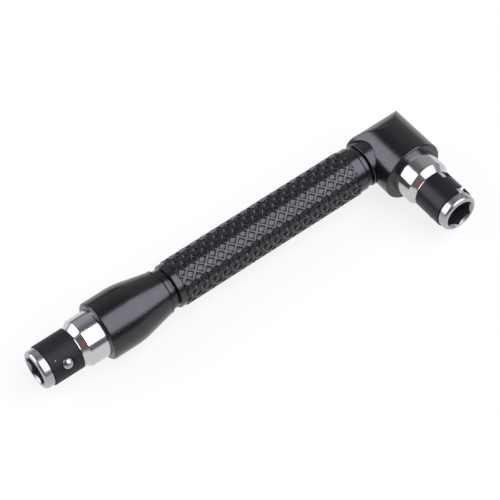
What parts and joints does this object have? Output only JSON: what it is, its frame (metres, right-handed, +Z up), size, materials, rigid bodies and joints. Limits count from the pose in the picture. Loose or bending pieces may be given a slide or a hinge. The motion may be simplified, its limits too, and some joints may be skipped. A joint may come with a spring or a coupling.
{
  "type": "l-shaped bit driver",
  "caption": "L-shaped hand driver for hex bits: knurled black handle with a chromed ball-detent socket at its tip and another at a right angle on its elbow head.",
  "frame": {"origin": "under the middle of the tool's bounding box, on the surface that it lies on", "axes": "+X along the handle from the straight socket to the elbow, -Y along the angled socket out of its mouth, +Z up from the surface that the flat L lies on"},
  "size_m": [0.1068, 0.0328, 0.0154],
  "materials": {
    "black_paint": "gloss black",
    "bright_chrome": "polished",
    "black_spring": "blackened spring steel, satin",
    "ball_steel": "polished ball",
    "plain_steel": "plain machined"
  },
  "bodies": {
    "driver": {"straight_socket": "bright_chrome", "straight_spring_sleeve": "black_spring", "nose_ferrule": "black_paint", "ferrule_screw": "plain_steel", "core_rod": "plain_steel", "knurled_grip": "black_paint", "rod_pin": "plain_steel", "elbow_head": "black_paint", "angled_socket": "bright_chrome", "angled_spring_sleeve": "black_spring"},
    "straight_ball": {"straight_detent_ball": "ball_steel"},
    "angled_ball": {"angled_detent_ball": "ball_steel"}
  },
  "joints": [
    {"name": "straight_ball_slide", "type": "slide", "parent": "driver", "child": "straight_ball", "axis": [0, -0.891, 0.454], "range_m": [0, 0.00055], "stiffness_N_per_m": 6000, "springref_m": -0.0005, "deforming": ["straight_spring_sleeve"]},
    {"name": "angled_ball_slide", "type": "slide", "parent": "driver", "child": "angled_ball", "axis": [-0.5592, 0, -0.829], "range_m": [0, 0.00055], "stiffness_N_per_m": 6000, "springref_m": -0.0005, "deforming": ["angled_spring_sleeve"]}
  ]
}
